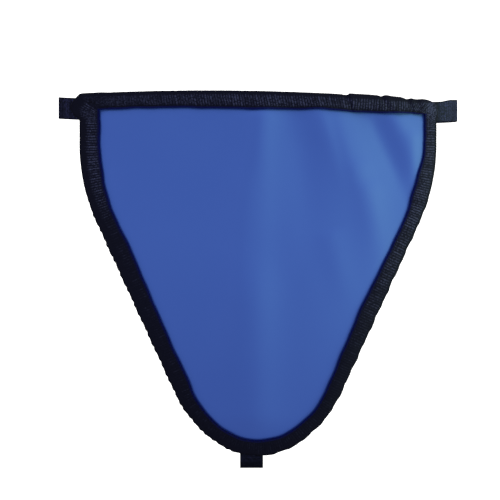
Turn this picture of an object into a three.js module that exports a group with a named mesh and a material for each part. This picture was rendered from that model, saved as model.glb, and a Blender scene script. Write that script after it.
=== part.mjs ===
// Gonad x-ray shield, in the form it keeps when worn: a blue lead-rubber panel bound in black tape,
// on a waist strap that runs round the back and a crotch strap that comes up to meet it.
// Millimetres. +X is to the viewer's right, +Y to the back, +Z up.
// The origin is the middle of the waist loop.
import * as THREE from "three";

const { clamp, degToRad, lerp, smoothstep } = THREE.MathUtils;

// Outline of the shield, seen from the front.
const HALF_WIDTH = 160.3; // half the width between the upright upper sides
const TOP_HEIGHT = 17.2; // highest point of the top edge
const TOP_PEAK_X = -50; // that point lies to the left of the middle
const TOP_ARCH_RADIUS = 2400;
const SHOULDER_RADIUS = 170; // where the upright sides turn in
const SIDE_LEAN = degToRad(24.6); // lean of the straight lower sides
const FLANK_RADIUS = 110; // where they begin to round towards the tip
const FLANK_LEAN = degToRad(56); // lean at which the tip's own arc takes over
const TIP_RADIUS = 65;
const TIP_DEPTH = 311; // lowest point of the edge, below the waist line

// Worn form: the waist is an oval of arcs, and the shield bends back below the belly.
const FRONT_RADIUS = 270; // bend of the shield round the waist, the same at every height
const WAIST_HALF_WIDTH = 180.2; // to the outer face of the strap
const WAIST_HALF_DEPTH = 112;
const BELLY_HEIGHT = -110; // the shield hangs upright above this height
const TIP_TILT = degToRad(36); // how far it has turned under at the tip

// Layers.
const PANEL_THICKNESS = 2.6; // lead rubber between two covers
const TAPE_THICKNESS = 1;
const BACK_LEG_EXTRA = 1; // the tape's back leg is this much wider, so that one seam catches both
const WAIST_STRAP_WIDTH = 19.6;
const CROTCH_STRAP_WIDTH = 20.8;
const STRAP_THICKNESS = 1.5;
const GAP = 0.3; // between pieces that are sewn together

// Straps.
const STRAP_OVERLAP = 28; // sewn behind a corner of the shield
const STRAP_FRONT_SLOPE = 0.005; // the waist strap sits lower on the right
const STRAP_BACK_SLOPE = 0.0095; // and more so towards the back
const STRAP_HIGH_Y = 4; // it is highest near the hips
const STRAP_HIP_RISE = 1.2; // and rises this much to there from the corners
const CROTCH_X = -5.8; // the crotch strap is sewn left of the middle
const CROTCH_OVERLAP = 24; // sewn behind the tip
const CROTCH_BEND_RADIUS = 33;
const CROTCH_BACK_TURN = degToRad(35); // last turn, up the back to the waist strap

// Width of the binding's front leg along the top, and down each side from its corner (0) to the tip (1).
const TOP_BINDING = [
  { x: -HALF_WIDTH, width: 15.3 },
  { x: -90, width: 15.3 },
  { x: -16, width: 16.4 },
  { x: 27, width: 16 },
  { x: 58, width: 14.5 },
  { x: 92, width: 15.6 },
  { x: 135, width: 13.4 },
  { x: HALF_WIDTH, width: 12.8 },
];
const SIDE_BINDING = [
  { down: 0, left: 18.7, right: 11.7 },
  { down: 0.1, left: 18.9, right: 11.8 },
  { down: 0.18, left: 19.4, right: 15.5 },
  { down: 0.23, left: 18.8, right: 15.8 },
  { down: 0.3, left: 17.7, right: 14.1 },
  { down: 0.4, left: 18.4, right: 15 },
  { down: 0.53, left: 17, right: 16.6 },
  { down: 0.64, left: 16.2, right: 15.3 },
  { down: 0.72, left: 16.6, right: 14.3 },
  { down: 0.8, left: 15, right: 13.3 },
  { down: 1, left: 15, right: 15 },
];

// Folds in the tape. Where it turns a top corner, an ear stands out past the side for a length down it, and
// the corner drops from the line of the top edge. The lap ends the tape on the top edge.
const EARS = {
  left: { reach: 7.6, length: 23, drop: 0.8 },
  right: { reach: 0.9, length: 16, drop: 4 },
};
const CORNER_RUN = 9;
const LAP = { x: 81.5, length: 42, rise: 1.1, ramp: 0.8, fall: 16 };

// Soft folds in the panel, from a top point to a low one: half widths at these and rise, hollows negative.
// They are the crest down the middle, in two lengths, then a hollow and a ridge that run down to the right,
// the same again near the right corner, and a short ridge below.
const FOLDS = [
  { topX: 5, topZ: 60, lowX: -22, lowZ: -330, halfTop: 13, halfLow: 26, rise: 6 },
  { topX: -6, topZ: -110, lowX: -6, lowZ: -640, halfTop: 24, halfLow: 26, rise: 5 },
  { topX: 28, topZ: 30, lowX: 62, lowZ: -170, halfTop: 12, halfLow: 30, rise: -2.4 },
  { topX: 42, topZ: 26, lowX: 126, lowZ: -145, halfTop: 11, halfLow: 19, rise: 1.9 },
  { topX: 87, topZ: 16, lowX: 152, lowZ: -115, halfTop: 17, halfLow: 18, rise: -4.4 },
  { topX: 114, topZ: 16, lowX: 154, lowZ: -66, halfTop: 9, halfLow: 9, rise: 1.5 },
  { topX: 62, topZ: -105, lowX: 84, lowZ: -190, halfTop: 11, halfLow: 12, rise: 1 },
];
const FOLD_FADE = { top: 16, side: 10, tip: 45 }; // a fold dies out this near the binding
const FOLD_START = 0.12; // share of its length over which a fold rises
const FOLD_FULL = 0.35; // and share at which it begins to fall

// Fineness of the meshes.
const TOP_STATIONS = 26;
const CORNER_STATIONS = 3;
const EAR_STATIONS = 6;
const SIDE_STATIONS = 28;
const PANEL_COLUMNS = 44;
const PANEL_ROWS = 29;
const LAST_PANEL_ROW = 0.985; // the lowest row stops short of the tip, inside the binding
const MOST_MARGIN = 0.3; // share of a row that lies under one side of the binding, at most
const STRAP_STEP = 11;

// Sizes worked out from those above.
const BINDING_HALF = PANEL_THICKNESS / 2 + GAP + TAPE_THICKNESS;
const STRAP_DROP = BINDING_HALF + GAP + STRAP_THICKNESS / 2; // from the shield's middle to a strap's
const CROTCH_EDGE_X = CROTCH_STRAP_WIDTH / 2 - CROTCH_X; // a flat strap, sewn to curved pieces at both ends
const CROTCH_DROP = STRAP_DROP + FRONT_RADIUS - Math.sqrt(FRONT_RADIUS ** 2 - CROTCH_EDGE_X ** 2);
const BELLY_RADIUS = (TIP_DEPTH + BELLY_HEIGHT) / Math.sin(TIP_TILT);
const CORNER_ANGLE = Math.asin(HALF_WIDTH / FRONT_RADIUS);
const OVAL_HALF_WIDTH = WAIST_HALF_WIDTH + STRAP_DROP - STRAP_THICKNESS / 2;
const HIP_RADIUS = (OVAL_HALF_WIDTH - HALF_WIDTH) / (1 - Math.sin(CORNER_ANGLE));

const FRONT_CENTRE_Y = FRONT_RADIUS - WAIST_HALF_DEPTH;
const CORNER_Y = FRONT_CENTRE_Y - FRONT_RADIUS * Math.cos(CORNER_ANGLE);
const HIP_X = (FRONT_RADIUS - HIP_RADIUS) * Math.sin(CORNER_ANGLE);
const HIP_Y = FRONT_CENTRE_Y - (FRONT_RADIUS - HIP_RADIUS) * Math.cos(CORNER_ANGLE);

const TIP_CENTRE_Z = TIP_RADIUS - TIP_DEPTH;
const FLANK_CENTRE = {
  x: (TIP_RADIUS - FLANK_RADIUS) * Math.cos(FLANK_LEAN),
  z: TIP_CENTRE_Z + (FLANK_RADIUS - TIP_RADIUS) * Math.sin(FLANK_LEAN),
};
const SIDE_END = {
  x: FLANK_CENTRE.x + FLANK_RADIUS * Math.cos(SIDE_LEAN),
  z: FLANK_CENTRE.z - FLANK_RADIUS * Math.sin(SIDE_LEAN),
};
const SIDE_MEETS_Z = SIDE_END.z + (HALF_WIDTH - SIDE_END.x) / Math.tan(SIDE_LEAN);
const SHOULDER_Z = SIDE_MEETS_Z + SHOULDER_RADIUS * Math.tan(SIDE_LEAN / 2);

function topEdge(x) {
  return TOP_HEIGHT - (x - TOP_PEAK_X) ** 2 / (2 * TOP_ARCH_RADIUS);
}

// The right-hand edge from the top corner to the tip, or its mirror image, as a path in X and Z.
function sidePath(sign) {
  const path = new THREE.Path();
  path.moveTo(HALF_WIDTH, topEdge(sign * HALF_WIDTH));
  path.lineTo(HALF_WIDTH, SHOULDER_Z);
  path.absarc(HALF_WIDTH - SHOULDER_RADIUS, SHOULDER_Z, SHOULDER_RADIUS, 0, -SIDE_LEAN, true);
  path.lineTo(SIDE_END.x, SIDE_END.z);
  path.absarc(FLANK_CENTRE.x, FLANK_CENTRE.z, FLANK_RADIUS, -SIDE_LEAN, -FLANK_LEAN, true);
  path.absarc(0, TIP_CENTRE_Z, TIP_RADIUS, -FLANK_LEAN, -Math.PI / 2, true);
  return path;
}

const SIDES = { left: { sign: -1, path: sidePath(-1) }, right: { sign: 1, path: sidePath(1) } };

// A point beside the edge: `down` runs from the top corner to the tip, `inset` and `topInset` go inwards.
function sidePoint(name, down, inset, topInset) {
  const { sign, path } = SIDES[name];
  const share = lerp(topInset / path.getLength(), 1, down);
  const edge = path.getPointAt(share);
  const along = path.getTangentAt(share);
  return { x: sign * (edge.x + along.y * inset), z: edge.y - along.x * inset };
}

// A width from a table at a place, eased from row to row.
function tableWidth(table, placeColumn, place, widthColumn) {
  const last = table.length - 1;
  const next = table.findIndex((row) => row[placeColumn] >= place);
  const after = Math.max(next < 0 ? last : next, 1);
  const [from, to] = [table[after - 1], table[after]];
  return lerp(from[widthColumn], to[widthColumn], smoothstep(place, from[placeColumn], to[placeColumn]));
}

function topBinding(x) {
  return tableWidth(TOP_BINDING, "x", x, "width");
}

function sideBinding(name, down) {
  return tableWidth(SIDE_BINDING, "down", down, name);
}

// The binding's inner edge along the top, and the depth of its inner corner below the top of a side.
function innerTop(x) {
  return topEdge(x) - topBinding(x);
}

function cornerInset(name) {
  const { sign } = SIDES[name];
  return topEdge(sign * HALF_WIDTH) - innerTop(sign * (HALF_WIDTH - sideBinding(name, 0)));
}

// The worn surface through the middle of the shield, and points a height in front of it.
function wornPoint(x, z, height) {
  const drop = Math.min(z - BELLY_HEIGHT, 0);
  const frontDepth = Math.sqrt(FRONT_RADIUS ** 2 - x ** 2);
  const bellyDepth = Math.sqrt(BELLY_RADIUS ** 2 - drop ** 2);
  const y = FRONT_CENTRE_Y - frontDepth + BELLY_RADIUS - bellyDepth;
  const normal = new THREE.Vector3(x / frontDepth, -1, drop / bellyDepth).normalize();
  return new THREE.Vector3(x, y, z).addScaledVector(normal, height);
}

function foldHeight(x, z) {
  let height = 0;
  for (const fold of FOLDS) {
    const across = fold.lowX - fold.topX;
    const down = fold.lowZ - fold.topZ;
    const along = ((x - fold.topX) * across + (z - fold.topZ) * down) / (across ** 2 + down ** 2);
    const offX = x - lerp(fold.topX, fold.lowX, along);
    const offZ = z - lerp(fold.topZ, fold.lowZ, along);
    const halfWidth = lerp(fold.halfTop, fold.halfLow, clamp(along, 0, 1));
    const profile = Math.exp(-(offX ** 2 + offZ ** 2) / halfWidth ** 2);
    const length = smoothstep(along, 0, FOLD_START) * (1 - smoothstep(along, FOLD_FULL, 1));
    height += fold.rise * profile * length;
  }
  return height;
}

// A closed solid through sections of equal size. The first half of a section runs along its front and the
// second half comes back along its rear, so an open end is capped like a ladder.
function loft(sections, closed = false) {
  const size = sections[0].length;
  const index = [];
  const at = (section, i) => (section % sections.length) * size + (i % size);
  const quad = (a, b, c, d) => index.push(a, b, c, a, c, d);
  const last = sections.length - 1;
  for (let s = 0; s < last + (closed ? 1 : 0); s++) {
    for (let i = 0; i < size; i++) {
      quad(at(s, i), at(s + 1, i), at(s + 1, i + 1), at(s, i + 1));
    }
  }
  for (let i = 0; i < size / 2 - 1 && !closed; i++) {
    quad(at(0, i), at(0, i + 1), at(0, size - 2 - i), at(0, size - 1 - i));
    quad(at(last, i), at(last, size - 1 - i), at(last, size - 2 - i), at(last, i + 1));
  }
  const geometry = new THREE.BufferGeometry().setFromPoints(sections.flat());
  geometry.setIndex(index);
  geometry.computeVertexNormals();
  return geometry;
}

// The panel's rows: the first along its top edge, the second along the binding's inner edge below that.
function panelDown(name, row) {
  if (row === 0) return 0;
  const { sign, path } = SIDES[name];
  const x = sign * (HALF_WIDTH - BINDING_HALF);
  const inset = BINDING_HALF + EARS[name].drop;
  const second = (topEdge(sign * HALF_WIDTH) - innerTop(x) - inset) / (path.getLength() - inset);
  return lerp(second, LAST_PANEL_ROW, (row - 1) / (PANEL_ROWS - 1));
}

function panelEdge(name, row) {
  return sidePoint(name, panelDown(name, row), BINDING_HALF, BINDING_HALF + EARS[name].drop);
}

// Shares across a row: at its ends, at the binding's inner edges and evenly between these.
function panelShares(row, width) {
  const margin = (name) => Math.min(sideBinding(name, panelDown(name, row)) / width, MOST_MARGIN);
  const left = margin("left");
  const right = 1 - margin("right");
  const shares = [0];
  for (let i = 0; i <= PANEL_COLUMNS; i++) {
    shares.push(lerp(left, right, i / PANEL_COLUMNS));
  }
  return [...shares, 1];
}

// Height of a row at a share across it. The arch of the top dies out towards the tip.
function panelHeight(row, share) {
  if (row === 0) {
    const x = lerp(-HALF_WIDTH, HALF_WIDTH, share);
    return topEdge(x) - cornerDrop(x) - BINDING_HALF;
  }
  const between = (place, axis) => {
    return lerp(panelEdge("left", place)[axis], panelEdge("right", place)[axis], share);
  };
  const arch = innerTop(between(1, "x")) - between(1, "z");
  return between(row, "z") + arch * (1 - (row - 1) / (PANEL_ROWS - 1)) ** 2;
}

// One row across the panel, front points left to right and then back points right to left.
function panelRow(row) {
  const left = panelEdge("left", row).x;
  const right = panelEdge("right", row).x;
  const front = [];
  const back = [];
  for (const share of panelShares(row, right - left)) {
    const x = lerp(left, right, share);
    const z = panelHeight(row, share);
    const leftRoom = x - left - sideBinding("left", panelDown("left", row));
    const rightRoom = right - x - sideBinding("right", panelDown("right", row));
    const sideFade = smoothstep(Math.min(leftRoom, rightRoom), 0, FOLD_FADE.side);
    const topFade = smoothstep(innerTop(x) - z, 0, FOLD_FADE.top);
    const tipFade = smoothstep(z + TIP_DEPTH - sideBinding("left", 1), 0, FOLD_FADE.tip);
    const fold = foldHeight(x, z) * sideFade * topFade * tipFade;
    front.push(wornPoint(x, z, fold + PANEL_THICKNESS / 2));
    back.unshift(wornPoint(x, z, fold - PANEL_THICKNESS / 2));
  }
  return [...front, ...back];
}

function shieldPanel() {
  const rows = [];
  for (let row = 0; row <= PANEL_ROWS; row++) {
    rows.push(panelRow(row));
  }
  return loft(rows);
}

// Where the binding's sections stand: along the top from left to right, down the right side, up the left.
function bindingStations() {
  const places = [LAP.x, LAP.x + LAP.ramp];
  for (let i = 0; i < CORNER_STATIONS; i++) {
    const x = HALF_WIDTH - (CORNER_RUN * i) / CORNER_STATIONS;
    places.push(-x, x);
  }
  for (let i = 1; i < TOP_STATIONS; i++) {
    places.push(lerp(-HALF_WIDTH, HALF_WIDTH, i / TOP_STATIONS));
  }
  const top = places.sort((a, b) => a - b).map((x) => ({ edge: "top", x }));
  return [...top, ...sideStations("right"), ...sideStations("left").reverse().slice(1)];
}

// From the first place below the top corner to the tip, closer together along the ear.
function sideStations(name) {
  const earShare = EARS[name].length / SIDES[name].path.getLength();
  const stations = [];
  for (let i = 1; i < EAR_STATIONS; i++) {
    stations.push({ edge: name, down: (earShare * i) / EAR_STATIONS });
  }
  for (let i = 0; i <= SIDE_STATIONS; i++) {
    stations.push({ edge: name, down: lerp(earShare, 1, i / SIDE_STATIONS) });
  }
  return stations;
}

function cornerDrop(x) {
  const past = Math.max(Math.abs(x) + CORNER_RUN - HALF_WIDTH, 0) / CORNER_RUN;
  return (x < 0 ? EARS.left.drop : EARS.right.drop) * past ** 2;
}

function earReach(name, down) {
  const { reach, length } = EARS[name];
  const share = (down * SIDES[name].path.getLength()) / length;
  return reach * Math.sin(Math.PI * Math.min(share, 1));
}

// The edge at a station, and the inner edges of the binding's front and back legs.
function bindingEdges(station) {
  if (station.edge === "top") {
    const share = (station.x / HALF_WIDTH + 1) / 2;
    const left = sideBinding("left", 0) - HALF_WIDTH;
    const right = HALF_WIDTH - sideBinding("right", 0);
    const innerEdge = (extra) => {
      const x = lerp(left + extra, right - extra, share);
      return { x, z: innerTop(x) - extra };
    };
    return {
      edge: { x: station.x, z: topEdge(station.x) - cornerDrop(station.x) },
      front: innerEdge(0),
      back: innerEdge(BACK_LEG_EXTRA),
    };
  }
  const { edge: name, down } = station;
  const width = sideBinding(name, down);
  const edge = sidePoint(name, down, 0, EARS[name].drop);
  edge.x += SIDES[name].sign * earReach(name, down);
  return {
    edge,
    front: sidePoint(name, down, width, cornerInset(name)),
    back: sidePoint(name, down, width + BACK_LEG_EXTRA, cornerInset(name) + BACK_LEG_EXTRA),
  };
}

function lapRise(station) {
  if (station.edge !== "top") return 0;
  const x = station.x - LAP.x;
  return LAP.rise * smoothstep(x, 0, LAP.ramp) * (1 - smoothstep(x, LAP.length - LAP.fall, LAP.length));
}

// The tape's section: along the front leg to the folded edge, round it and along the back leg, then the same
// way back on its inner face. A share runs along a leg from the fold (0) to its inner edge (1), and is
// negative within the fold. The lap thickens the tape outwards.
function bindingSection(station) {
  const edges = bindingEdges(station);
  const rise = lapRise(station);
  const point = (leg, share, height, outwards = 0) => {
    const inner = edges[leg];
    const length = Math.hypot(inner.x - edges.edge.x, inner.z - edges.edge.z);
    const start = BINDING_HALF / length;
    const along = share < 0 ? start * (1 + share) - outwards / length : lerp(start, 1, share);
    return wornPoint(lerp(edges.edge.x, inner.x, along), lerp(edges.edge.z, inner.z, along), height);
  };
  const outer = BINDING_HALF;
  const inner = BINDING_HALF - TAPE_THICKNESS;
  const corner = outer * Math.SQRT1_2;
  const innerFold = -inner / outer;
  return [
    point("front", 1, outer + rise),
    point("front", 0.5, outer + rise),
    point("front", 0, outer + rise),
    point("front", -Math.SQRT1_2, corner + rise * Math.SQRT1_2, rise * Math.SQRT1_2),
    point("front", -1, 0, rise),
    point("back", -Math.SQRT1_2, -corner),
    point("back", 0, -outer),
    point("back", 0.5, -outer),
    point("back", 1, -outer),
    point("back", 1, -inner),
    point("back", 0.5, -inner),
    point("back", 0, -inner),
    point("front", innerFold, 0),
    point("front", 0, inner),
    point("front", 0.5, inner),
    point("front", 1, inner),
  ];
}

function edgeBinding() {
  return loft(bindingStations().map(bindingSection), true);
}

// The waist loop in plan, from behind the left corner round the back to behind the right corner.
function waistPath() {
  const front = FRONT_RADIUS - STRAP_DROP;
  const hip = HIP_RADIUS - STRAP_DROP;
  const sewn = CORNER_ANGLE - STRAP_OVERLAP / front;
  const quarter = Math.PI / 2;
  const path = new THREE.Path();
  path.absarc(0, FRONT_CENTRE_Y, front, -quarter - sewn, -quarter - CORNER_ANGLE, true);
  path.absarc(-HIP_X, HIP_Y, hip, -quarter - CORNER_ANGLE, -2 * quarter, true);
  path.absarc(-HIP_X, -HIP_Y, hip, 2 * quarter, quarter + CORNER_ANGLE, true);
  path.absarc(0, -FRONT_CENTRE_Y, front, quarter + CORNER_ANGLE, quarter - CORNER_ANGLE, true);
  path.absarc(HIP_X, -HIP_Y, hip, quarter - CORNER_ANGLE, 0, true);
  path.absarc(HIP_X, HIP_Y, hip, 0, -quarter + CORNER_ANGLE, true);
  path.absarc(0, FRONT_CENTRE_Y, front, -quarter + CORNER_ANGLE, -quarter + sewn, true);
  return path;
}

function waistHeight(x, y) {
  const fromHigh = (y - STRAP_HIGH_Y) / (CORNER_Y - STRAP_HIGH_Y);
  const slope = lerp(STRAP_FRONT_SLOPE, STRAP_BACK_SLOPE, (1 - y / CORNER_Y) / 2);
  return STRAP_HIP_RISE * (1 - fromHigh ** 2) - x * slope;
}

// A flat strap's section: three points down its outer face and three back up its inner face.
function strapSection(middle, outward, across, strapWidth) {
  const points = [];
  for (const [width, depth] of [[1, 1], [0, 1], [-1, 1], [-1, -1], [0, -1], [1, -1]]) {
    const point = middle.clone().addScaledVector(across, (width * strapWidth) / 2);
    points.push(point.addScaledVector(outward, (depth * STRAP_THICKNESS) / 2));
  }
  return points;
}

function strapAlong(path, sectionAt) {
  const steps = Math.ceil(path.getLength() / STRAP_STEP);
  const sections = [];
  for (let i = 0; i <= steps; i++) {
    sections.push(sectionAt(path.getPointAt(i / steps), path.getTangentAt(i / steps)));
  }
  return loft(sections);
}

function waistStrap() {
  const up = new THREE.Vector3(0, 0, 1);
  return strapAlong(waistPath(), (place, along) => {
    const middle = new THREE.Vector3(place.x, place.y, waistHeight(place.x, place.y));
    return strapSection(middle, new THREE.Vector3(-along.y, along.x, 0), up, WAIST_STRAP_WIDTH);
  });
}

// The crotch strap in side view, as a path in Y and Z: behind the tip, under, and up the back.
function crotchPath() {
  const tipRadius = BELLY_RADIUS - CROTCH_DROP;
  const bellyCentreY = BELLY_RADIUS - WAIST_HALF_DEPTH;
  const sewn = TIP_TILT - CROTCH_OVERLAP / tipRadius;
  const bend = {
    y: bellyCentreY - (tipRadius - CROTCH_BEND_RADIUS) * Math.cos(TIP_TILT),
    z: BELLY_HEIGHT - (tipRadius - CROTCH_BEND_RADIUS) * Math.sin(TIP_TILT),
  };
  const backY = WAIST_HALF_DEPTH - CROTCH_DROP - STRAP_THICKNESS - GAP;
  const bendReach = CROTCH_BEND_RADIUS * Math.cos(CROTCH_BACK_TURN);
  const backRadius = (backY - bend.y - bendReach) / (1 - Math.cos(CROTCH_BACK_TURN));
  const backCentreY = backY - backRadius;
  const backCentreZ = bend.z + (backRadius - CROTCH_BEND_RADIUS) * Math.sin(CROTCH_BACK_TURN);
  const path = new THREE.Path();
  path.absarc(bellyCentreY, BELLY_HEIGHT, tipRadius, Math.PI + sewn, Math.PI + TIP_TILT, false);
  path.absarc(bend.y, bend.z, CROTCH_BEND_RADIUS, Math.PI + TIP_TILT, 2 * Math.PI - CROTCH_BACK_TURN, false);
  path.absarc(backCentreY, backCentreZ, backRadius, -CROTCH_BACK_TURN, 0, false);
  path.lineTo(backY, waistHeight(0, backY) + WAIST_STRAP_WIDTH / 2);
  return path;
}

function crotchStrap() {
  const across = new THREE.Vector3(-1, 0, 0);
  return strapAlong(crotchPath(), (place, along) => {
    const middle = new THREE.Vector3(CROTCH_X, place.x, place.y);
    return strapSection(middle, new THREE.Vector3(0, along.y, -along.x), across, CROTCH_STRAP_WIDTH);
  });
}

// Finishes.
const COVER = { color: 0x3c5aaa, roughness: 0.5, metalness: 0 };
const TAPE = { color: 0x1a1c26, roughness: 0.85, metalness: 0 };
const WEBBING = { color: 0x1c202c, roughness: 0.9, metalness: 0 };

function piece(name, geometry, finish) {
  const mesh = new THREE.Mesh(geometry, new THREE.MeshStandardMaterial(finish));
  mesh.name = name;
  return mesh;
}

const shield = new THREE.Group();
shield.add(
  piece("shield_panel", shieldPanel(), COVER),
  piece("edge_binding", edgeBinding(), TAPE),
  piece("waist_strap", waistStrap(), WEBBING),
  piece("crotch_strap", crotchStrap(), WEBBING),
);

export default shield;
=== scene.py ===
import math

import bpy
import numpy as np
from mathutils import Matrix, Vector
from mathutils.bvhtree import BVHTree


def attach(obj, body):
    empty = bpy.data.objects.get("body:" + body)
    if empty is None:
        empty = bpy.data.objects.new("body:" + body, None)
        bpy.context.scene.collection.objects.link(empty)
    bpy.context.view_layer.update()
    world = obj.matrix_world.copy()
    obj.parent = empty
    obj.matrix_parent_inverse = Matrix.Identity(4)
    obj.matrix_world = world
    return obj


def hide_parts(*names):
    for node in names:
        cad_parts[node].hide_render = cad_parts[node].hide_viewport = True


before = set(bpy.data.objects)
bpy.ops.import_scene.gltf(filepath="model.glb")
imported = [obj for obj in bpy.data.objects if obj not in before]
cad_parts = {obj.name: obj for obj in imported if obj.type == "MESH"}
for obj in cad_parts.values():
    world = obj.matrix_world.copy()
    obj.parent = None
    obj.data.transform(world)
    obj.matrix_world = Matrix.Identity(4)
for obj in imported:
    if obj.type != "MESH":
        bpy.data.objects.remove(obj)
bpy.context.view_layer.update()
MM = 0.001
QUARTER = math.pi / 2

# Outline of the shield, seen from the front
HALF_WIDTH = 160.3
TOP_HEIGHT = 17.2
TOP_PEAK_X = -50
TOP_ARCH_RADIUS = 2400
SHOULDER_RADIUS = 170
SIDE_LEAN = math.radians(24.6)
FLANK_RADIUS = 110
FLANK_LEAN = math.radians(56)
TIP_RADIUS = 65
TIP_DEPTH = 311

# Worn form
FRONT_RADIUS = 270
WAIST_HALF_WIDTH = 180.2
WAIST_HALF_DEPTH = 112
BELLY_HEIGHT = -110
TIP_TILT = math.radians(36)

# Layers
PANEL_THICKNESS = 2.6
TAPE_THICKNESS = 1
BACK_LEG_EXTRA = 1
WAIST_STRAP_WIDTH = 19.6
CROTCH_STRAP_WIDTH = 20.8
STRAP_THICKNESS = 1.5
GAP = 0.3

# Straps
STRAP_OVERLAP = 28
STRAP_FRONT_SLOPE = 0.005
STRAP_BACK_SLOPE = 0.0095
STRAP_HIGH_Y = 4
STRAP_HIP_RISE = 1.2
WAIST_DIP = {"depth": 2.2, "length": 26}
CROTCH_X = -5.8
CROTCH_OVERLAP = 24
CROTCH_BEND_RADIUS = 33
CROTCH_BACK_TURN = math.radians(35)

# Width of the binding's front leg along the top, and down each side from its corner (0) to the tip (1)
TOP_BINDING = {
    "x": (-HALF_WIDTH, -90, -16, 27, 58, 92, 135, HALF_WIDTH),
    "width": (15.3, 15.3, 16.4, 16, 14.5, 15.6, 13.4, 12.8),
}
SIDE_BINDING = {
    "down": (0, 0.1, 0.18, 0.23, 0.3, 0.4, 0.53, 0.64, 0.72, 0.8, 1),
    "left": (18.7, 18.9, 19.4, 18.8, 17.7, 18.4, 17, 16.2, 16.6, 15, 15),
    "right": (11.7, 11.8, 15.5, 15.8, 14.1, 15, 16.6, 15.3, 14.3, 13.3, 15),
}

# Top corners: the tape's ear past the side, and the top tape's end, which lies over the side tape. Below each
# side's "worn" depths the tape is painted darker towards the tip
CORNERS = {
    "left": {"sign": -1, "reach": 7.6, "length": 23, "drop": 0.8, "slant": 6, "worn": (-115, -45)},
    "right": {"sign": 1, "reach": 0.9, "length": 16, "drop": 4, "slant": 2, "worn": (-240, -80)},
}
CORNER_RUN = 9
CORNER_RISE = 0.5
CORNER_STEP = {"inside": 8, "half": 0.4}
MITRE = 34
SIDE_MITRE = 28

# The lap where the tape ends, and puckers of the tape: place, half width and rise, notches negative
LAP = {"x": 83, "length": 52, "rise": 1.1, "ramp": 0.8, "fall": 12, "slant": 4, "inner_loss": 0.4}
PUCKERS = (
    (-157.5, 3, 0.6),
    (78, 2.4, -0.5),
    (110.4, 2, -0.9),
    (115.5, 3.5, 0.6),
    (128, 4, 0.5),
    (133.8, 2, -0.6),
    (138, 3, 0.6),
    (148, 4, 0.5),
)
PUCKER_LEAN = 9
PUCKER_INNER_LOSS = 0.7
LEG_MIDDLE = 0.5

# Folds of the panel: top point, low point, half widths at these and rise, hollows negative
FOLDS = (
    (5, 60, -22, -330, 13, 26, 6),
    (-6, -110, -6, -640, 24, 26, 5),
    (28, 30, 62, -170, 12, 30, -2.4),
    (42, 26, 126, -145, 11, 19, 1.9),
    (87, 16, 152, -115, 17, 18, -4.4),
    (114, 16, 154, -66, 9, 9, 1.5),
    (62, -105, 84, -190, 11, 12, 1),
)
# Fine creases on and between the folds, by the same columns
CREASES = (
    (102, -2, 154, -122, 7, 7, -1),
    (115, 3, 167, -116, 7, 7, 1),
    (61, 8, 90, -100, 6, 6, -0.7),
    (84, -40, 122, -170, 12, 12, 1),
    (42, -15, 44, -160, 14, 14, -0.7),
    (-1, -30, -27, -400, 10, 18, -1.2),
    (-13, -30, -39, -400, 14, 18, 2),
    (98, -60, 106, -180, 12, 13, 1),
    (138, -14, 136, -120, 9, 9, 1.3),
)
# Shares of a fold's length where it is grown and where it starts to die out, and room it needs at the edges
FOLD_START = 0.12
FOLD_FULL = 0.35
FOLD_ROOM = (2, 24)
FOLD_TIP_ROOM = (8, 40)

# Weave of the tape and the straps
TAPE_RIB_PITCH = 2.4
TAPE_RIB_HEIGHT = 0.16
TAPE_CROWN = 0.6
STRAP_RIB_PITCH = 1.8
STRAP_RIB_HEIGHT = 0.12
STEPS_A_RIB = 4
RIB_SLANT = 1.2
RIB_SEED = 7
FAINTEST_RIB = 0.5
LEAST_RIB_HEIGHT = 0.3
LEAST_RIB_LIGHT = 0.15
CORNER_RIB_LOSS = 0.7
CORNER_LIGHT_LOSS = 0.3
# Share of the tape's lightness that is left low down, where it is painted darker towards the tip
LOWEST_TAPE_LIGHTNESS = 0.25
# Painted shade: the crotch strap is painted darker all along, as in the shade under the tip
CROTCH_SHADE = 0.35
# Painted shade: the waist strap is painted darker where it goes under the tape at the corners, down to this
# share
CORNER_STRAP_SHADE = 0.15
# Painted shade: the waist strap is painted darker towards its left end, away from the key light, down to this
# share
LEFT_STRAP_SHADE = 0.72
STRAP_EDGE_LIGHT = 0.4
STRAP_SHADE = (1, 10)
# A lighter spot on the top tape's end at the right corner: place, half sizes and added lightness
LIGHT_END_SPOT = {"x": 154, "z": 1.5, "half_x": 7, "half_z": 7, "share": 0.55}

# Where the ribs show across the tape, from its fold (0) to its inner edge (1): start, full, fading, gone.
# Outside the band the tape is also painted darker, as painted shade at its fold and its inner edge
RIB_BAND = {
    "top": (0, 0.14, 0.66, 0.9),
    "left": (0.2, 0.45, 0.8, 0.95),
    "right": (0, 0.1, 0.72, 0.94),
}
# The tape's navy rim: full up to the first distance from the inner edge, and gone at the second
RIM = (0.6, 2.2)

# Towards the left of the top tape the ribs' painted highlights and painted shade give way, mostly, to one
# even lightness
EVEN_LIGHTNESS = {"x": (-130, -10), "share": 0.75, "lightness": 0.27}

# Unevenness of the tape's edges: wave length and height. Left and right blend near the middle. The outer
# edge is least uneven down to the first depth below the waist, and fully uneven from the second
EDGE_WAVES = {
    "left": ((7.4, 0.3), (4.9, 0.14), (31, 0.22)),
    "right": ((17, 0.3), (31, 0.22), (7.4, 0.1)),
}
WAVE_BLEND = 12
WAVE_DEPTHS = (60, 110)
LEAST_WAVE = 0.12
INNER_WAVES = ((23, 0.12), (41, 0.16))

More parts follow.
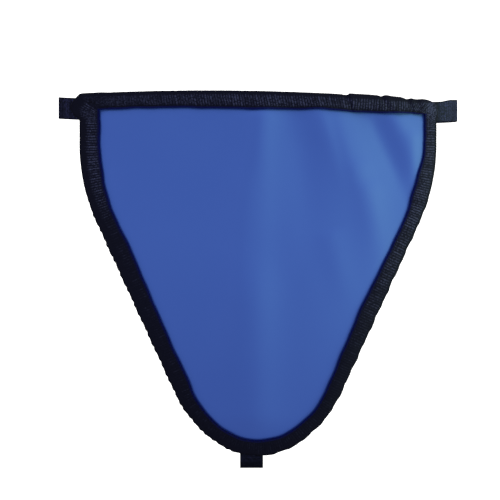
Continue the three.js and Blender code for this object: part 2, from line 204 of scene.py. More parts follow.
# Section of the tape: shares of a leg from the fold (0) to the inner edge (1), angles round the fold in
# degrees, and the worn corners of the inner edge
FRONT_ROWS = (0.985, 0.92, 0.84, 0.74, 0.62, 0.5, 0.38, 0.26, 0.16, 0.08, 0)
BACK_ROWS = (0, 0.16, 0.38, 0.62, 0.84, 0.985)
INSIDE_ROWS = (0, 0.5, 0.985)
FOLD_ANGLES = (30, 60, 90)
TAPE_EDGE = {"lip": 0.1, "round": 0.25, "weight": 0.5}

# Half the section of a strap, from its edge to its middle: share of the half width, depth and rib weight
STRAP_ROWS = (
    (1, 0.45, 0),
    (0.985, 0.85, 0),
    (0.95, 1, 0.3),
    (0.85, 1, 1),
    (0.6, 1, 1),
    (0.3, 1, 1),
    (0, 1, 1),
)

# Stitches. Rings are shares of a stitch's length and radius, and no stitch runs along the across vector
STITCH_LENGTH = 2.5
STITCH_PITCH = 3.4
STITCH_RADIUS = 0.26
STITCH_SIDES = 6
STITCH_INSET = 2.2
STITCH_RINGS = ((0, 0.35), (0.12, 0.85), (0.5, 1), (0.88, 0.85), (1, 0.35))
STITCH_ACROSS = (0.2, 1, 0.3)
NEEDLE_REACH = 1000
STRAP_BOX = {"x": 147, "half_x": 8, "half_z": 6.5}
CROTCH_BOX = {"tip_z": -298, "half_x": 7.5, "half_z": 6.5}
CORNER_TACK = {"x": 149, "left_z": 7.5, "right_z": 2.5, "half_x": 3.4, "half_z": 3, "turns": 9}

# Looks. A grain is noise: scale, detail, and strength and distance of its bump, in metres
BLACK = (0, 0, 0)
WHITE = (1, 1, 1)
COVER_COLOUR = (0.046, 0.093, 0.575)
COVER_ROUGHNESS = 0.7
COVER_SPECULAR = 1
COVER_TINT = (0.4, 1, 0.2)
COVER_GRAIN = {"scale": 1100, "detail": 2, "strength": 0.08, "distance": 0.0003}
# Painted shade on the cover beside the binding: its colour, the reach of the occlusion test, and the
# occlusion values where the shade is full and where it is gone
BINDING_SHADE = {"colour": (0.001, 0.001, 0.25), "reach": 0.006, "dark": 0.8, "clear": 0.95}
CLOUDS = {"colour": (0.95, 0.96, 0.99), "scale": 16, "detail": 2, "dark": 0.3, "clear": 0.7}
TAPE_LOOK = {
    "dark": (0.0068, 0.0062, 0.0155),
    "light": (0.042, 0.048, 0.104),
    "specular": 0.17,
    "rim": (0.002, 0.003, 0.08),
}
WEBBING_LOOK = {"dark": (0.0058, 0.005, 0.0145), "light": (0.04, 0.043, 0.15), "specular": 0.32}
WOVEN_ROUGHNESS = 0.7
WOVEN_TINT = (0.27, 0.45, 1)
WOVEN_GRAIN = {"scale": 2600, "detail": 2, "strength": 0.4, "distance": 0.0003}
WEAVE_STOPS = {"dark": 0.08, "light": 0.5}
SPECKLE = {"scale": 800, "detail": 3, "dark": 0.35, "clear": 0.65}
THREAD_COLOUR = (0.005, 0.006, 0.012)
THREAD_ROUGHNESS = 0.6
THREAD_SPECULAR = 0.1
THREAD_GRAIN = {"scale": 4000, "detail": 1, "strength": 0.3, "distance": 0.0002}

# Sizes worked out from those above
BINDING_HALF = PANEL_THICKNESS / 2 + GAP + TAPE_THICKNESS
STRAP_DROP = BINDING_HALF + GAP + STRAP_THICKNESS / 2
CROTCH_EDGE_X = CROTCH_STRAP_WIDTH / 2 - CROTCH_X
CROTCH_DROP = STRAP_DROP + FRONT_RADIUS - math.sqrt(FRONT_RADIUS**2 - CROTCH_EDGE_X**2)
BELLY_RADIUS = (TIP_DEPTH + BELLY_HEIGHT) / math.sin(TIP_TILT)
CORNER_ANGLE = math.asin(HALF_WIDTH / FRONT_RADIUS)
OVAL_HALF_WIDTH = WAIST_HALF_WIDTH + STRAP_DROP - STRAP_THICKNESS / 2
HIP_RADIUS = (OVAL_HALF_WIDTH - HALF_WIDTH) / (1 - math.sin(CORNER_ANGLE))
FRONT_CENTRE_Y = FRONT_RADIUS - WAIST_HALF_DEPTH
CORNER_Y = FRONT_CENTRE_Y - FRONT_RADIUS * math.cos(CORNER_ANGLE)
HIP_Y = FRONT_CENTRE_Y - (FRONT_RADIUS - HIP_RADIUS) * math.cos(CORNER_ANGLE)


def smooth(value, low, high):
    share = np.clip((value - low) / (high - low), 0, 1)
    return share * share * (3 - 2 * share)


def mix(a, b, share):
    return a + (b - a) * share


def eased(places, values, at):
    """A table's column at some places, eased from row to row."""
    places = np.array(places, float)
    values = np.array(values, float)
    after = np.clip(np.searchsorted(places, at), 1, len(places) - 1)
    return mix(values[after - 1], values[after], smooth(at, places[after - 1], places[after]))


def waves(table, place):
    return sum(height * np.sin(math.tau * place / length) for length, height in table)


def chain(start, heading, legs, places):
    """Points and headings at the given lengths along lines and arcs. A leg is its length and its turn."""
    points = np.zeros((len(places), 2))
    headings = np.zeros(len(places))
    corner = np.array(start, float)
    done = 0.0
    for length, turn in legs:
        run = np.append(np.clip(places - done, 0, None), length)
        angle = heading + turn * run / length / 2
        chord = run * np.sinc(turn * run / length / math.tau)
        reached = corner + chord[:, None] * np.stack([np.cos(angle), np.sin(angle)], 1)
        here = places >= done
        points[here] = reached[:-1][here]
        headings[here] = heading + (turn * run / length)[:-1][here]
        corner = reached[-1]
        heading += turn
        done += length
    return points, headings


# Outline
def top_edge(x):
    return TOP_HEIGHT - (x - TOP_PEAK_X) ** 2 / (2 * TOP_ARCH_RADIUS)


def inner_top(x):
    return top_edge(x) - eased(TOP_BINDING["x"], TOP_BINDING["width"], x)


def side_legs(sign):
    """The edge from a top corner to the tip, as it is on the right."""
    tip_z = TIP_RADIUS - TIP_DEPTH
    flank_x = (TIP_RADIUS - FLANK_RADIUS) * math.cos(FLANK_LEAN)
    flank_z = tip_z + (FLANK_RADIUS - TIP_RADIUS) * math.sin(FLANK_LEAN)
    end_x = flank_x + FLANK_RADIUS * math.cos(SIDE_LEAN)
    end_z = flank_z - FLANK_RADIUS * math.sin(SIDE_LEAN)
    slope_length = (HALF_WIDTH - end_x) / math.sin(SIDE_LEAN)
    shoulder_tangent = SHOULDER_RADIUS * math.tan(SIDE_LEAN / 2)
    shoulder_z = end_z + slope_length * math.cos(SIDE_LEAN) + shoulder_tangent
    return (
        (top_edge(sign * HALF_WIDTH) - shoulder_z, 0),
        (SHOULDER_RADIUS * SIDE_LEAN, -SIDE_LEAN),
        (slope_length - shoulder_tangent, 0),
        (FLANK_RADIUS * (FLANK_LEAN - SIDE_LEAN), SIDE_LEAN - FLANK_LEAN),
        (TIP_RADIUS * (QUARTER - FLANK_LEAN), FLANK_LEAN - QUARTER),
    )


SIDE_LEGS = {name: side_legs(corner["sign"]) for name, corner in CORNERS.items()}
SIDE_LENGTHS = {name: sum(length for length, _ in legs) for name, legs in SIDE_LEGS.items()}


def side_points(name, places, inset):
    """X and Z beside the edge, at lengths along it from the top corner. The inset goes inwards."""
    sign = CORNERS[name]["sign"]
    start = (HALF_WIDTH, top_edge(sign * HALF_WIDTH))
    edge, heading = chain(start, -QUARTER, SIDE_LEGS[name], places)
    x = edge[:, 0] + np.sin(heading) * inset
    z = edge[:, 1] - np.cos(heading) * inset
    return sign * x, z


def side_binding(name, down):
    return eased(SIDE_BINDING["down"], SIDE_BINDING[name], down)


def corner_drop(x):
    past = np.clip(np.abs(x) + CORNER_RUN - HALF_WIDTH, 0, None) / CORNER_RUN
    return np.where(x < 0, CORNERS["left"]["drop"], CORNERS["right"]["drop"]) * past**2


OUTLINE_STEPS = 400
OUTLINE = side_points("right", np.linspace(0, SIDE_LENGTHS["right"], OUTLINE_STEPS), 0)


def half_width(z):
    return np.interp(z, OUTLINE[1][::-1], OUTLINE[0][::-1])


# Worn surface
def worn(x, z, height):
    """Points at a height in front of the worn middle surface."""
    drop = np.minimum(z - BELLY_HEIGHT, 0)
    front_depth = np.sqrt(FRONT_RADIUS**2 - x**2)
    belly_depth = np.sqrt(BELLY_RADIUS**2 - drop**2)
    y = FRONT_CENTRE_Y - front_depth + BELLY_RADIUS - belly_depth
    normal = np.stack([x / front_depth, -np.ones_like(x), drop / belly_depth], -1)
    normal /= np.linalg.norm(normal, axis=-1, keepdims=True)
    return np.stack([x, y, z], -1) + normal * np.asarray(height)[..., None]


def fold_lift(x, z):
    """How far the folds stand forward. They die out under the binding and towards the tip."""
    height = np.zeros_like(x)
    for top_x, top_z, low_x, low_z, half_top, half_low, rise in FOLDS + CREASES:
        across = low_x - top_x
        down = low_z - top_z
        along = ((x - top_x) * across + (z - top_z) * down) / (across**2 + down**2)
        off = np.hypot(x - mix(top_x, low_x, along), z - mix(top_z, low_z, along))
        half = mix(half_top, half_low, np.clip(along, 0, 1))
        length = smooth(along, 0, FOLD_START) * (1 - smooth(along, FOLD_FULL, 1))
        height += rise * np.exp(-((off / half) ** 2)) * length
    room = np.minimum(top_edge(x) - z, half_width(z) - np.abs(x))
    return height * smooth(room, *FOLD_ROOM) * smooth(z + TIP_DEPTH, *FOLD_TIP_ROOM)


def rib_shades(turn):
    """How bright each rib's painted highlight is, at random."""
    first = np.floor(turn.min())
    number = np.round(turn - first).astype(int)
    shades = np.random.default_rng(RIB_SEED).uniform(FAINTEST_RIB, 1, number.max() + 1)
    return shades[number]


# Meshes
def mesh_piece(name, points, faces, material):
    mesh = bpy.data.meshes.new(name)
    mesh.from_pydata((np.asarray(points) * MM).tolist(), [], faces)
    mesh.shade_smooth()
    mesh.materials.append(material)
    piece = bpy.data.objects.new(name, mesh)
    bpy.context.scene.collection.objects.link(piece)
    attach(piece, "root")
    return piece


def skin(name, grid, closed, material):
    """A closed skin over sections of equal size. An open end is capped like a ladder."""
    stations, size, _ = grid.shape
    index = np.arange(stations * size).reshape(stations, size)
    here = index if closed else index[:-1]
    ahead = np.roll(index, -1, 0) if closed else index[1:]
    quads = np.stack([here, ahead, np.roll(ahead, -1, 1), np.roll(here, -1, 1)], -1)
    faces = quads.reshape(-1, 4).tolist()
    if not closed:
        half = size // 2
        for row, order in ((index[0], 1), (index[-1], -1)):
            front = row[:half]
            back = row[::-1][:half]
            cap = np.stack([front[:-1], front[1:], back[1:], back[:-1]], -1)
            faces += cap[:, ::order].tolist()
    return mesh_piece(name, grid.reshape(-1, 3), faces, material)


def paint(piece, name, values):
    """A value at each point of a piece, for its material to read."""
    layer = piece.data.attributes.new(name, "FLOAT", "POINT")
    layer.data.foreach_set("value", values.astype(np.float32).ravel())


# Materials
def principled(name, colour, roughness, specular):
    material = bpy.data.materials.new(name)
    material.use_nodes = True
    shader = material.node_tree.nodes["Principled BSDF"]
    shader.inputs["Base Color"].default_value = (*colour, 1)
    shader.inputs["Roughness"].default_value = roughness
    shader.inputs["Specular IOR Level"].default_value = specular
    return material, shader


def add_noise(material, grain):
    """Noise in the object's own coordinates."""
    nodes = material.node_tree.nodes
    place = nodes.new("ShaderNodeTexCoord")
    noise = nodes.new("ShaderNodeTexNoise")
    noise.inputs["Scale"].default_value = grain["scale"]
    noise.inputs["Detail"].default_value = grain["detail"]
    material.node_tree.links.new(place.outputs["Object"], noise.inputs["Vector"])
    return noise.outputs["Fac"]


def add_grain(material, shader, grain):
    bump = material.node_tree.nodes.new("ShaderNodeBump")
    bump.inputs["Strength"].default_value = grain["strength"]
    bump.inputs["Distance"].default_value = grain["distance"]
    material.node_tree.links.new(add_noise(material, grain), bump.inputs["Height"])
    material.node_tree.links.new(bump.outputs["Normal"], shader.inputs["Normal"])


def add_ramp(material, factor, low, dark, high, light):
    ramp = material.node_tree.nodes.new("ShaderNodeValToRGB")
    for stop, position, colour in zip(ramp.color_ramp.elements, (low, high), (dark, light)):
        stop.position = position
        stop.color = (*colour, 1)
    material.node_tree.links.new(factor, ramp.inputs["Fac"])
    return ramp.outputs["Color"]


def cover_material():
    """Coated cloth with a fine grain and faintly clouded, with painted shade: dark navy where the binding
    beside it occludes it.
    """
    material, shader = principled("coated_cover", COVER_COLOUR, COVER_ROUGHNESS, COVER_SPECULAR)
    shader.inputs["Specular Tint"].default_value = (*COVER_TINT, 1)
    add_grain(material, shader, COVER_GRAIN)
    nodes = material.node_tree.nodes
    links = material.node_tree.links
    # Painted shade: the base colour turns dark navy where ambient occlusion is low, beside the binding's edge
    occlusion_node = nodes.new("ShaderNodeAmbientOcclusion")
    occlusion_node.inputs["Distance"].default_value = BINDING_SHADE["reach"]
    stops = (BINDING_SHADE["dark"], BINDING_SHADE["colour"], BINDING_SHADE["clear"], COVER_COLOUR)
    shaded_colour = add_ramp(material, occlusion_node.outputs["AO"], *stops)
    noise = add_noise(material, CLOUDS)
    clouds = add_ramp(material, noise, CLOUDS["dark"], CLOUDS["colour"], CLOUDS["clear"], WHITE)
    colour = nodes.new("ShaderNodeMixRGB")
    colour.blend_type = "MULTIPLY"
    colour.inputs["Fac"].default_value = 1
    links.new(shaded_colour, colour.inputs["Color1"])
    links.new(clouds, colour.inputs["Color2"])
    links.new(colour.outputs["Color"], shader.inputs["Base Color"])
    return material


def add_rim(material, shader, rim_colour):
    """Navy along the tape's inner rim, where the cover beside it shines on it."""
    nodes = material.node_tree.nodes
    links = material.node_tree.links
    rim = nodes.new("ShaderNodeAttribute")
    rim.attribute_name = "rim"
    colour = nodes.new("ShaderNodeMixRGB")
    colour.inputs["Color2"].default_value = (*rim_colour, 1)
    links.new(rim.outputs["Fac"], colour.inputs["Fac"])
    links.new(shader.inputs["Base Color"].links[0].from_socket, colour.inputs["Color1"])
    links.new(colour.outputs["Color"], shader.inputs["Base Color"])


def woven_material(name, look):
    """Ribbed weave: the ribs' tops are painted lighter than the grooves, as painted highlights on the tops
    and painted shade in the grooves, unevenly.
    """
    material, shader = principled(name, look["dark"], WOVEN_ROUGHNESS, look["specular"])
    shader.inputs["Specular Tint"].default_value = (*WOVEN_TINT, 1)
    nodes = material.node_tree.nodes
    links = material.node_tree.links
    thread = nodes.new("ShaderNodeAttribute")
    thread.attribute_name = "weave"
    noise = add_noise(material, SPECKLE)
    speckle = add_ramp(material, noise, SPECKLE["dark"], BLACK, SPECKLE["clear"], WHITE)
    uneven = nodes.new("ShaderNodeMath")
    uneven.operation = "MULTIPLY"
    links.new(thread.outputs["Fac"], uneven.inputs[0])
    links.new(speckle, uneven.inputs[1])
    stops = (WEAVE_STOPS["dark"], look["dark"], WEAVE_STOPS["light"], look["light"])
    colour = add_ramp(material, uneven.outputs["Value"], *stops)
    links.new(colour, shader.inputs["Base Color"])
    add_grain(material, shader, WOVEN_GRAIN)
    if "rim" in look:
        add_rim(material, shader, look["rim"])
    return material


def thread_material():
    material, shader = principled("thread", THREAD_COLOUR, THREAD_ROUGHNESS, THREAD_SPECULAR)
    add_grain(material, shader, THREAD_GRAIN)
    return material


COVER = cover_material()
TAPE = woven_material("ribbed_tape", TAPE_LOOK)
WEBBING = woven_material("webbing", WEBBING_LOOK)
THREAD = thread_material()

# Panel
PANEL_COLUMNS = 180
PANEL_ROWS = 160
LAST_PANEL_ROW = 0.985


def panel_edge(name, down):
    places = mix(BINDING_HALF + CORNERS[name]["drop"], SIDE_LENGTHS[name], down)
    return side_points(name, places, BINDING_HALF)


def shield_panel():
    down = np.linspace(0, LAST_PANEL_ROW, PANEL_ROWS)
    share = np.linspace(0, 1, PANEL_COLUMNS)[None, :]
    left_x, left_z = (value[:, None] for value in panel_edge("left", down))
    right_x, right_z = (value[:, None] for value in panel_edge("right", down))
    x = mix(left_x, right_x, share)
    top_x = mix(-HALF_WIDTH, HALF_WIDTH, share)
    arch = top_edge(top_x) - corner_drop(top_x) - BINDING_HALF - mix(left_z[0], right_z[0], share)
    z = mix(left_z, right_z, share) + arch * (1 - down[:, None]) ** 2
    lift = fold_lift(x, z)
    front = worn(x, z, lift + PANEL_THICKNESS / 2)
    back = worn(x, z, lift - PANEL_THICKNESS / 2)
    grid = np.concatenate([front, back[:, ::-1]], 1)
    return skin("panel_cover", grid, False, COVER)


# Binding
def ear_reach(name, down):
    corner = CORNERS[name]
    share = np.clip(down * SIDE_LENGTHS[name] / corner["length"], 0, 1)
    return corner["reach"] * np.sin(math.pi * share)


def inner_corner(name):
    """X and Z of the inner corner of the binding's front leg."""
    x = CORNERS[name]["sign"] * (HALF_WIDTH - side_binding(name, 0))
    return x, inner_top(x)


def top_stations():
    x = np.linspace(-HALF_WIDTH, HALF_WIDTH, round(2 * HALF_WIDTH / TAPE_RIB_PITCH * STEPS_A_RIB) + 1)
    left, right = (side_binding(name, 0) for name in ("left", "right"))
    edges = {"edge": (x, top_edge(x) - corner_drop(x))}
    for leg, extra in (("front", 0), ("back", BACK_LEG_EXTRA)):
        from_left = 1 - smooth(x, -HALF_WIDTH, MITRE - HALF_WIDTH)
        from_right = smooth(x, HALF_WIDTH - MITRE, HALF_WIDTH)
        inner_x = x + (left + extra) * from_left - (right + extra) * from_right
        edges[leg] = (inner_x, inner_top(inner_x) - extra)
    return edges


def side_stations(name):
    steps = round(SIDE_LENGTHS[name] / TAPE_RIB_PITCH * STEPS_A_RIB)
    down = np.linspace(0, 1, steps + 1)[1:]
    width = side_binding(name, down)
    top_inset = top_edge(CORNERS[name]["sign"] * HALF_WIDTH) - inner_corner(name)[1]
    places = mix(CORNERS[name]["drop"], SIDE_LENGTHS[name], down)
    x, z = side_points(name, places, 0)
    edges = {"edge": (x + CORNERS[name]["sign"] * ear_reach(name, down), z)}
    mitre = 1 - smooth(places, 0, SIDE_MITRE)
    edges["front"] = side_points(name, places + top_inset * mitre, width)
    edges["back"] = side_points(name, places + (top_inset + BACK_LEG_EXTRA) * mitre, width + BACK_LEG_EXTRA)
    return edges


def binding_edges():
    """X and Z of the folded edge and of both legs' inner edges, all round the shield, and the top's count."""
    top = top_stations()
    right = side_stations("right")
    left = side_stations("left")
    whole = {}
    for key in ("edge", "front", "back"):
        runs = (np.stack(top[key], -1), np.stack(right[key], -1), np.stack(left[key], -1)[-2::-1])
        whole[key] = np.concatenate(runs)
    outward = whole["edge"] - whole["front"]
    outward /= np.linalg.norm(outward, axis=1, keepdims=True)
    place = np.cumsum(np.linalg.norm(np.diff(whole["edge"], axis=0, prepend=whole["edge"][:1]), axis=1))
    on_side = smooth(-whole["edge"][:, 1], *WAVE_DEPTHS)[:, None]
    to_right = smooth(whole["edge"][:, 0], -WAVE_BLEND, WAVE_BLEND)
    uneven = mix(waves(EDGE_WAVES["left"], place), waves(EDGE_WAVES["right"], place), to_right)
    whole["edge"] += outward * uneven[:, None] * mix(LEAST_WAVE, 1, on_side)
    whole["front"] += outward * waves(INNER_WAVES, place)[:, None]
    return whole, len(top["edge"][0])


def tape_profile():
    """Rows of leg (0 front, 1 back), share along it, height and outer-skin weight, round the folded tape."""
    inside = BINDING_HALF - TAPE_THICKNESS
    lip = inside + TAPE_EDGE["lip"]
    shoulder = BINDING_HALF - TAPE_EDGE["round"]
    turns = [math.radians(degrees) for degrees in FOLD_ANGLES]
    rows = [(0, 1, lip, TAPE_EDGE["weight"]), (0, 1, shoulder, 1)]
    rows += [(0, share, BINDING_HALF, 1) for share in FRONT_ROWS]
    rows += [(0, -math.sin(turn), BINDING_HALF * math.cos(turn), 1) for turn in turns]
    rows += [(1, -math.sin(turn), -BINDING_HALF * math.cos(turn), 1) for turn in turns[-2::-1]]
    rows += [(1, share, -BINDING_HALF, 1) for share in BACK_ROWS]
    rows += [(1, 1, -shoulder, 1), (1, 1, -lip, TAPE_EDGE["weight"])]
    rows += [(1, share, -inside, 0) for share in reversed(INSIDE_ROWS)]
    rows.append((0, -inside / BINDING_HALF, 0, 0))
    rows += [(0, share, inside, 0) for share in INSIDE_ROWS]
    return np.array(rows).T


def corner_share(x, z):
    """One on the top tape's ends, which lie over the side tapes, and nought elsewhere."""
    share = np.zeros_like(x)
    for name, corner in CORNERS.items():
        inner_x, inner_z = inner_corner(name)
        past = (np.abs(x) - abs(inner_x)) / (HALF_WIDTH - abs(inner_x))
        end = inner_z - corner["slant"] * np.clip(past, 0, 1)
        outwards = smooth(corner["sign"] * x, abs(inner_x) - CORNER_STEP["inside"], abs(inner_x))
        share += outwards * smooth(z, end - CORNER_STEP["half"], end + CORNER_STEP["half"])
    return share


def tape_rise(x, share):
    """Lap and puckers of the tape along the top edge."""
    past = x - LAP["x"] - LAP["slant"] * (share - LEG_MIDDLE)
    lap = smooth(past, 0, LAP["ramp"]) * (1 - smooth(past, LAP["length"] - LAP["fall"], LAP["length"]))
    rise = LAP["rise"] * lap * (1 - LAP["inner_loss"] * share)
    for place, half, height in PUCKERS:
        bump = np.exp(-(((x - place - PUCKER_LEAN * share) / half) ** 2))
        rise += height * bump * (1 - PUCKER_INNER_LOSS * share)
    return rise


def rib_band(on_leg, side):
    start, full, fading, gone = RIB_BAND[side]
    return smooth(on_leg, start, full) * (1 - smooth(on_leg, fading, gone))


def tape_lightness(x, z, lightness):
    """The tape's lightness, painted darker towards the tip and lighter on a spot at the tape's end at the
    right corner.
    """
    high_left, high_right = (smooth(z, *CORNERS[name]["worn"]) for name in ("left", "right"))
    by_height = mix(LOWEST_TAPE_LIGHTNESS, 1, np.where(x < 0, high_left, high_right))
    off_x = (x - LIGHT_END_SPOT["x"]) / LIGHT_END_SPOT["half_x"]
    off_z = (z - LIGHT_END_SPOT["z"]) / LIGHT_END_SPOT["half_z"]
    return lightness * by_height + LIGHT_END_SPOT["share"] * np.exp(-(off_x**2 + off_z**2))


def edge_binding():
    edges, top_count = binding_edges()
    leg, share, height, weight = (row[None, :] for row in tape_profile())
    edge = edges["edge"][:, None, :]
    inner = np.where(leg[..., None] == 0, edges["front"][:, None, :], edges["back"][:, None, :])
    length = np.linalg.norm(inner - edge, axis=-1)
    start = BINDING_HALF / length
    along = np.where(share < 0, start * (1 + share), mix(start, 1, share))
    place = mix(edge, inner, along[..., None])
    on_leg = np.clip(share, 0, 1)
    on_top = (np.arange(len(edge)) < top_count)[:, None]
    corner = corner_share(place[..., 0], place[..., 1])
    slant = np.where(on_top & (edge[..., 0] < LAP["x"]), RIB_SLANT, 0) * on_leg
    turn = np.arange(len(edge))[:, None] / STEPS_A_RIB - slant
    rib = np.cos(math.tau * turn)
    side_band = np.where(edge[..., 0] < 0, rib_band(on_leg, "left"), rib_band(on_leg, "right"))
    band = np.where(on_top, rib_band(on_leg, "top"), side_band)
    rise = np.where(on_top, tape_rise(edge[..., 0], on_leg), 0) + CORNER_RISE * corner
    rise = rise + TAPE_RIB_HEIGHT * rib * mix(LEAST_RIB_HEIGHT, 1, band) * (1 - CORNER_RIB_LOSS * corner)
    rise = rise + TAPE_CROWN * np.sin(math.pi * on_leg) * (height > 0)
    rise = rise * weight
    outwards = np.where(share < 0, -share, 0)
    place = mix(edge, inner, (along - rise * outwards / length)[..., None])
    forward = np.sign(height) * rise * np.sqrt(1 - outwards**2)
    x, z = place[..., 0], place[..., 1]
    grid = worn(x, z, height + forward + fold_lift(x, z))
    # Towards the left of the top the painted rib highlights and shade give way to an even lightness
    even = np.where(on_top, 1 - smooth(x, *EVEN_LIGHTNESS["x"]), 0) * EVEN_LIGHTNESS["share"]
    # Painted highlights on the rib tops and painted shade in the grooves; outside the rib band the tape is
    # painted darker as shade
    lightness = mix((1 + rib) / 2 * rib_shades(turn), EVEN_LIGHTNESS["lightness"], even)
    lightness = lightness * mix(LEAST_RIB_LIGHT, 1, band) * (1 - CORNER_LIGHT_LOSS * corner)
    piece = skin("binding_tape", grid, True, TAPE)
    paint(piece, "weave", tape_lightness(x, z, lightness))
    paint(piece, "rim", 1 - smooth((1 - on_leg) * length, *RIM))
    return piece, edges


# Straps
def strap_profile(half):
    """Rows of place across the strap, depth and rib weight: along the outer face, back on the inner one."""
    outer = [*STRAP_ROWS, *((-share, depth, rib) for share, depth, rib in STRAP_ROWS[-2::-1])]
    rows = outer + [(share, -depth, rib) for share, depth, rib in reversed(outer)]
    share, depth, rib = np.array(rows).T
    return share * half, depth * STRAP_THICKNESS / 2, rib * np.sign(depth)


def strap(name, middle, outward, across, half, dip, sewn, painted_shade):
    width, depth, rib = strap_profile(half)
    wave = np.cos(math.tau * np.arange(len(middle)) / STEPS_A_RIB)[:, None]
    depth = depth[None, :] + STRAP_RIB_HEIGHT * (wave - 1) / 2 * rib[None, :]
    width = width[None, :] - dip[:, None] * smooth(width, 0, half)[None, :]
    grid = middle[:, None, :] + across[:, None, :] * width[..., None]
    lift = fold_lift(grid[..., 0], grid[..., 2]) * sewn[:, None]
    grid = grid + outward[:, None, :] * (depth + lift)[..., None]
    shades = rib_shades(np.arange(len(middle))[:, None] / STEPS_A_RIB)
    # Painted highlights on the rib tops and painted shade in the grooves, times the strap's painted shade
    weave = (1 + wave) / 2 * shades * mix(STRAP_EDGE_LIGHT, 1, np.abs(rib))[None, :] * painted_shade[:, None]
    piece = skin(name, grid, False, WEBBING)
    paint(piece, "weave", weave)
    return piece


def strap_places(legs):
    length = sum(leg for leg, _ in legs)
    return np.linspace(0, length, round(length / STRAP_RIB_PITCH * STEPS_A_RIB) + 1)


def waist_height(x, y):
    from_high = (y - STRAP_HIGH_Y) / (CORNER_Y - STRAP_HIGH_Y)
    slope = mix(STRAP_FRONT_SLOPE, STRAP_BACK_SLOPE, (1 - y / CORNER_Y) / 2)
    return STRAP_HIP_RISE * (1 - from_high**2) - x * slope


def waist_strap():
    front = FRONT_RADIUS - STRAP_DROP
    hip = HIP_RADIUS - STRAP_DROP
    sewn_angle = CORNER_ANGLE - STRAP_OVERLAP / front
    overlap = (STRAP_OVERLAP, -STRAP_OVERLAP / front)
    hip_turn = QUARTER - CORNER_ANGLE
    hip_legs = ((hip * hip_turn, -hip_turn), (-2 * HIP_Y, 0), (hip * hip_turn, -hip_turn))
    legs = (overlap, *hip_legs, (2 * front * CORNER_ANGLE, -2 * CORNER_ANGLE), *hip_legs, overlap)
    start = (-front * math.sin(sewn_angle), FRONT_CENTRE_Y - front * math.cos(sewn_angle))
    places = strap_places(legs)
    points, heading = chain(start, math.pi - sewn_angle, legs, places)
    middle = np.column_stack([points, waist_height(points[:, 0], points[:, 1])])
    outward = np.column_stack([-np.sin(heading), np.cos(heading), np.zeros(len(places))])
    across = np.tile([0.0, 0.0, 1.0], (len(places), 1))
    from_corner = places[-1] - STRAP_OVERLAP - places
    dip = WAIST_DIP["depth"] * (1 - smooth(from_corner, 0, WAIST_DIP["length"]))
    past_corner = np.minimum(places, places[-1] - places) - STRAP_OVERLAP
    # Painted shade, darker beside the tape at the corners and towards the left end
    painted_shade = mix(CORNER_STRAP_SHADE, 1, smooth(past_corner, *STRAP_SHADE))
    painted_shade = painted_shade * mix(LEFT_STRAP_SHADE, 1, places / places[-1])
    return strap("waist_webbing", middle, outward, across, WAIST_STRAP_WIDTH / 2, dip, past_corner < 0, painted_shade)


def crotch_strap():
    tip_radius = BELLY_RADIUS - CROTCH_DROP
    belly_y = BELLY_RADIUS - WAIST_HALF_DEPTH
    sewn = TIP_TILT - CROTCH_OVERLAP / tip_radius
    bend_y = belly_y - (tip_radius - CROTCH_BEND_RADIUS) * math.cos(TIP_TILT)
    bend_z = BELLY_HEIGHT - (tip_radius - CROTCH_BEND_RADIUS) * math.sin(TIP_TILT)
    back_y = WAIST_HALF_DEPTH - CROTCH_DROP - STRAP_THICKNESS - GAP
    bend_reach = CROTCH_BEND_RADIUS * math.cos(CROTCH_BACK_TURN)
    back_radius = (back_y - bend_y - bend_reach) / (1 - math.cos(CROTCH_BACK_TURN))
    back_z = bend_z + (back_radius - CROTCH_BEND_RADIUS) * math.sin(CROTCH_BACK_TURN)
    bend_turn = math.pi - TIP_TILT - CROTCH_BACK_TURN
    legs = (
        (CROTCH_OVERLAP, CROTCH_OVERLAP / tip_radius),
        (CROTCH_BEND_RADIUS * bend_turn, bend_turn),
        (back_radius * CROTCH_BACK_TURN, CROTCH_BACK_TURN),
        (waist_height(0, back_y) + WAIST_STRAP_WIDTH / 2 - back_z, 0),
    )
    start = (belly_y - tip_radius * math.cos(sewn), BELLY_HEIGHT - tip_radius * math.sin(sewn))
    places = strap_places(legs)
    points, heading = chain(start, sewn - QUARTER, legs, places)
    middle = np.column_stack([np.full(len(places), CROTCH_X), points])
    outward = np.column_stack([np.zeros(len(places)), np.sin(heading), -np.cos(heading)])
    across = np.tile([-1.0, 0.0, 0.0], (len(places), 1))
    none = np.zeros(len(places))
    # Painted shade, darker all along, as in the shade under the tip
    painted_shade = np.full(len(places), CROTCH_SHADE)
    return strap("crotch_webbing", middle, outward, across, CROTCH_STRAP_WIDTH / 2, none, none, painted_shade)


panel = shield_panel()
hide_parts("shield_panel")
binding, EDGES = edge_binding()
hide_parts("edge_binding")
waist = waist_strap()
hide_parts("waist_strap")
crotch = crotch_strap()
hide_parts("crotch_strap")


# Stitches, laid on the surfaces that they are sewn through
def surface_of(pieces):
    points = []
    faces = []
    for piece in pieces:
        first = len(points)
        points += [vertex.co for vertex in piece.data.vertices]
        faces += [[first + corner for corner in polygon.vertices] for polygon in piece.data.polygons]
    return BVHTree.FromPolygons(points, faces)


SURFACE = surface_of((panel, binding, waist, crotch))
FROM_FRONT = (-NEEDLE_REACH, 1)
FROM_INSIDE_FORWARD = (0, -1)
FROM_INSIDE_BACK = (0, 1)
FROM_BEHIND = (NEEDLE_REACH, -1)


def laid(x, z, side):
    """The point of the nearest surface that a needle meets from one side."""
    from_y, way = side
    hit = SURFACE.ray_cast(Vector((x, from_y, z)) * MM, Vector((0, way, 0)))[0]
    return np.array(hit) / MM


